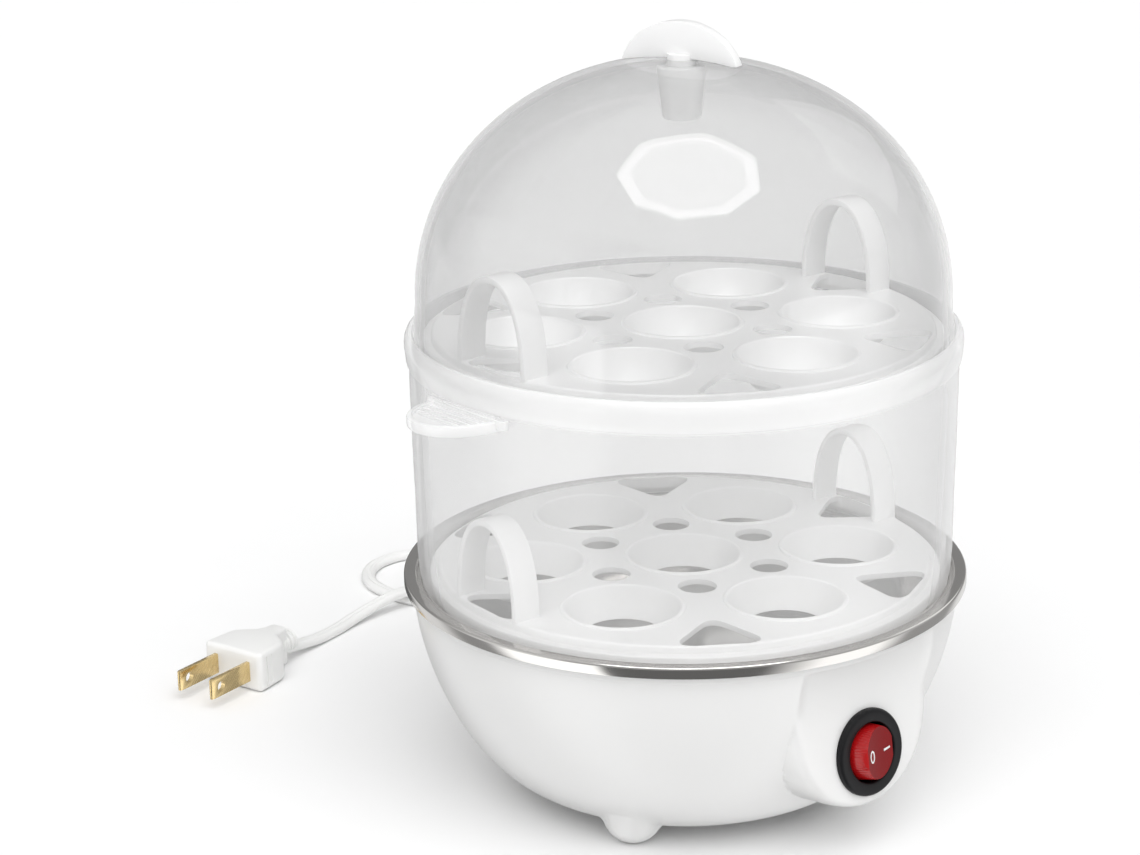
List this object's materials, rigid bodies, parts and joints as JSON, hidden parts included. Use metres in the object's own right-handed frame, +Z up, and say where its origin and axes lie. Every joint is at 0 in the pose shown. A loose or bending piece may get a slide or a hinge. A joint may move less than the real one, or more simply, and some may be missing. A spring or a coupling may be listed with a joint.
{
  "type": "egg cooker",
  "caption": "Electric egg cooker: plastic base with a rocker switch, steel water pan, egg trays stacked round a steam ring, clear domed lid with a fin handle, and a flat mains lead.",
  "frame": {"origin": "on the table under the vertical axis of the cooker, so the centre of the bottom of its bounding box without the mains lead", "axes": "+Z up; -Y is the side with the switch; +Y is the side where the mains lead leaves; the two tabs of the steam ring lie along X"},
  "size_m": [0.22, 0.2712, 0.2119],
  "materials": {
    "white_pp": "satin",
    "stainless": "brushed skirt, polished flange",
    "steel": "plain",
    "aluminium": "cast",
    "phenolic": "matte",
    "cord_pvc": "satin",
    "black_nylon": "satin",
    "red_pc": "glossy, translucent",
    "brass": "plain",
    "lamp_glass": "clear",
    "frosted_pp": "frosted, translucent",
    "clear_ps": "glossy, see-through plastic"
  },
  "bodies": {
    "base": {"base_housing": "white_pp", "base_screw_1": "steel", "base_screw_2": "steel", "base_screw_3": "steel", "cord_clamp": "white_pp", "cord_coil": "cord_pvc", "cord_lead": "cord_pvc", "cord_tail": "cord_pvc", "cord_tie": "white_pp", "fuse_clip": "steel", "heater_bracket": "steel", "heater_nut": "steel", "heater_plate": "aluminium", "heater_stud": "steel", "heater_terminal_1": "steel", "heater_terminal_2": "steel", "heating_element": "aluminium", "lead_live": "cord_pvc", "lead_neutral": "cord_pvc", "lead_switched": "cord_pvc", "mains_plug_body": "cord_pvc", "mains_plug_pin_1": "brass", "mains_plug_pin_2": "brass", "pan_standoff_1": "steel", "pan_standoff_2": "steel", "pan_standoff_3": "steel", "strain_relief": "cord_pvc", "switch_housing": "black_nylon", "switch_lamp": "lamp_glass", "switch_terminal_1": "brass", "switch_terminal_2": "brass", "switch_terminal_3": "brass", "thermal_fuse": "cord_pvc", "thermostat": "phenolic", "thermostat_terminal_1": "steel", "thermostat_terminal_2": "steel", "water_pan": "stainless"},
    "rocker": {"switch_rocker": "red_pc"},
    "contact": {"switch_contact": "brass"},
    "lower_tray": {"lower_egg_tray": "white_pp"},
    "ring": {"steam_ring": "frosted_pp"},
    "upper_tray": {"upper_egg_tray": "white_pp"},
    "lid": {"lid_dome": "clear_ps", "lid_handle": "white_pp", "handle_retainer": "white_pp"}
  },
  "joints": [
    {"name": "rocker_tilt", "type": "hinge", "parent": "base", "child": "rocker", "pos_m": [0, -0.06971, 0.02912], "axis": [0, -0.1392, -0.9903], "range_deg": [0, 30]},
    {"name": "contact_tilt", "type": "hinge", "parent": "base", "child": "contact", "pos_m": [0, -0.06168, 0.02799], "axis": [0, -0.1392, -0.9903], "range_deg": [-20, 3]},
    {"name": "lower_tray_lift", "type": "slide", "parent": "base", "child": "lower_tray", "axis": [0, 0, 1], "range_m": [0, 0.08]},
    {"name": "ring_lift", "type": "slide", "parent": "lower_tray", "child": "ring", "axis": [0, 0, 1], "range_m": [0, 0.1]},
    {"name": "upper_tray_lift", "type": "slide", "parent": "ring", "child": "upper_tray", "axis": [0, 0, 1], "range_m": [0, 0.08]},
    {"name": "lid_lift", "type": "slide", "parent": "upper_tray", "child": "lid", "axis": [0, 0, 1], "range_m": [0, 0.12]}
  ],
  "couplings": [
    {"joint": "contact_tilt", "follows": "rocker_tilt", "ratio": -0.5}
  ]
}
